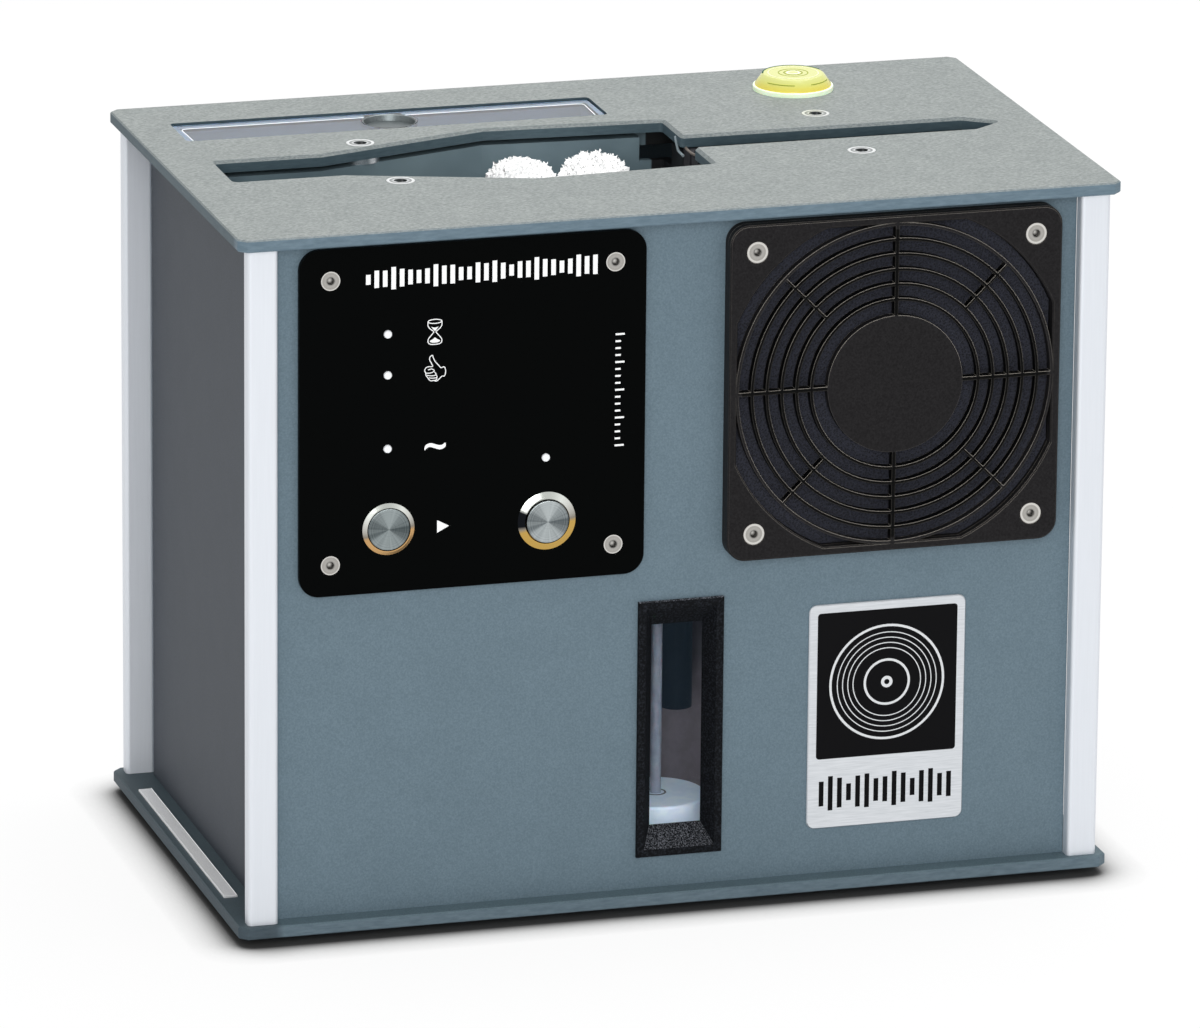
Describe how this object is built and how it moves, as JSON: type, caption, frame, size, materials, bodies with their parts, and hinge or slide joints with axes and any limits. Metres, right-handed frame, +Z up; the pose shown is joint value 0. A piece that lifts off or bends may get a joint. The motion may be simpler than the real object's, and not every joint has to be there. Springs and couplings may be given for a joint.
{
  "type": "record cleaning machine",
  "caption": "Desktop ultrasonic record washer and dryer: upright box with a record slot in its top, a drying fan behind a ring guard, a water window, lit controls and a clear filter lid.",
  "frame": {"origin": "on the standing surface, under the middle of the base plate", "axes": "+X along the length towards the fan side, +Z up; the controls and the window face -Y"},
  "size_m": [0.3286, 0.1938, 0.2695],
  "materials": {
    "anodised": "satin anodised",
    "bare_aluminium": "sandblasted",
    "black_gloss": "polished black",
    "black_satin": "fine textured black",
    "board": "green circuit board",
    "case_skin": "blue-grey PVC sheet, fine speckle",
    "chamber_plastic": "welded PVC sheet",
    "clear": "clear acrylic",
    "fleece": "white microfibre pile",
    "foam": "open-cell foam, dark navy",
    "gear_plastic": "natural acetal",
    "lamp": "clear lens",
    "level_body": "yellow-green liquid in clear acrylic",
    "motor_case": "zinc plated steel",
    "rubber": "black rubber",
    "side_skin": "dark grey PVC sheet",
    "soft_rubber": "grey-brown silicone",
    "stainless": "turned and brushed stainless steel",
    "tank_plastic": "welded PVC sheet",
    "top_skin": "warm grey PVC sheet, fine speckle, low sheen",
    "white_plastic": "white polypropylene"
  },
  "bodies": {
    "case": {"air_duct": "black_satin", "badge_plate": "black_gloss", "base_plate": "case_skin", "base_screws": "stainless", "board_standoffs": "black_satin", "chamber_pillars": "stainless", "control_board": "board", "control_plate": "black_gloss", "corner_blocks": "black_satin", "corner_posts": "anodised", "dc_inlet": "black_satin", "deck_plate": "chamber_plastic", "drain_valve": "black_satin", "fan_frame": "black_satin", "filter_cartridge": "white_plastic", "filter_grille": "black_satin", "filter_housing": "tank_plastic", "float_rod": "stainless", "foam_filter": "foam", "front_panel": "case_skin", "guard_frame": "black_satin", "indicator_lights": "lamp", "ledge_strip": "bare_aluminium", "panel_screws": "stainless", "power_bezel": "stainless", "pump": "black_satin", "pump_hose": "soft_rubber", "rear_panel": "case_skin", "record_motor": "motor_case", "roller_motor": "motor_case", "rubber_feet": "rubber", "side_panel_left": "side_skin", "side_panel_right": "side_skin", "spirit_level": "level_body", "start_bezel": "stainless", "top_plate": "top_skin", "top_screws": "stainless", "top_spacers": "stainless", "transducer": "motor_case", "wash_chamber": "chamber_plastic", "water_tank": "tank_plastic", "window_bezel": "black_gloss", "window_pane": "clear", "wiper_blades": "soft_rubber"},
    "start_button": {"start_cap": "stainless"},
    "power_button": {"power_cap": "stainless"},
    "impeller": {"fan_impeller": "black_satin"},
    "roller_rear_left": {"roller_sleeve_rear_left": "fleece", "roller_spindle_rear_left": "gear_plastic"},
    "roller_rear_right": {"roller_sleeve_rear_right": "fleece", "roller_spindle_rear_right": "gear_plastic"},
    "roller_front_left": {"roller_sleeve_front_left": "fleece", "roller_spindle_front_left": "gear_plastic"},
    "roller_front_right": {"roller_sleeve_front_right": "fleece", "roller_spindle_front_right": "gear_plastic"},
    "pinion": {"motor_pinion": "gear_plastic"},
    "driver": {"drive_wheel": "rubber"},
    "idler": {"idler_wheel": "rubber"},
    "float": {"float_disc": "white_plastic"},
    "lid": {"filter_lid": "clear"}
  },
  "joints": [
    {"name": "roller_drive", "type": "hinge", "parent": "case", "child": "roller_rear_left", "pos_m": [-0.03, 0.0128, 0.2], "axis": [0, 0, 1], "continuous": true},
    {"name": "roller_rear_right_spin", "type": "hinge", "parent": "case", "child": "roller_rear_right", "pos_m": [-0.002, 0.0128, 0.2], "axis": [0, 0, 1], "continuous": true},
    {"name": "roller_front_left_spin", "type": "hinge", "parent": "case", "child": "roller_front_left", "pos_m": [-0.03, -0.0152, 0.2], "axis": [0, 0, 1], "continuous": true},
    {"name": "roller_front_right_spin", "type": "hinge", "parent": "case", "child": "roller_front_right", "pos_m": [-0.002, -0.0152, 0.2], "axis": [0, 0, 1], "continuous": true},
    {"name": "pinion_spin", "type": "hinge", "parent": "case", "child": "pinion", "pos_m": [-0.03, 0.0338, 0.13], "axis": [0, 0, 1], "continuous": true},
    {"name": "record_drive", "type": "hinge", "parent": "case", "child": "driver", "pos_m": [-0.11925, -0.0012, 0.21052], "axis": [0, 1, 0], "continuous": true},
    {"name": "idler_spin", "type": "hinge", "parent": "case", "child": "idler", "pos_m": [0.12275, -0.0012, 0.21052], "axis": [0, 1, 0], "continuous": true},
    {"name": "fan_spin", "type": "hinge", "parent": "case", "child": "impeller", "pos_m": [0.0795, -0.07, 0.1935], "axis": [0, 1, 0], "continuous": true},
    {"name": "start_press", "type": "slide", "parent": "case", "child": "start_button", "axis": [0, 1, 0], "range_m": [0, 0.0025], "stiffness_N_per_m": 400, "springref_m": -0.002},
    {"name": "power_press", "type": "slide", "parent": "case", "child": "power_button", "axis": [0, 1, 0], "range_m": [0, 0.0025], "stiffness_N_per_m": 400, "springref_m": -0.002},
    {"name": "float_travel", "type": "slide", "parent": "case", "child": "float", "axis": [0, 0, 1], "range_m": [0, 0.075]},
    {"name": "lid_lift", "type": "slide", "parent": "case", "child": "lid", "axis": [0, 0, 1], "range_m": [0, 0.04]}
  ],
  "couplings": [
    {"joint": "roller_rear_right_spin", "follows": "roller_drive", "ratio": -1},
    {"joint": "roller_front_left_spin", "follows": "roller_drive", "ratio": -1},
    {"joint": "roller_front_right_spin", "follows": "roller_drive", "ratio": 1},
    {"joint": "pinion_spin", "follows": "roller_drive", "ratio": -2}
  ]
}
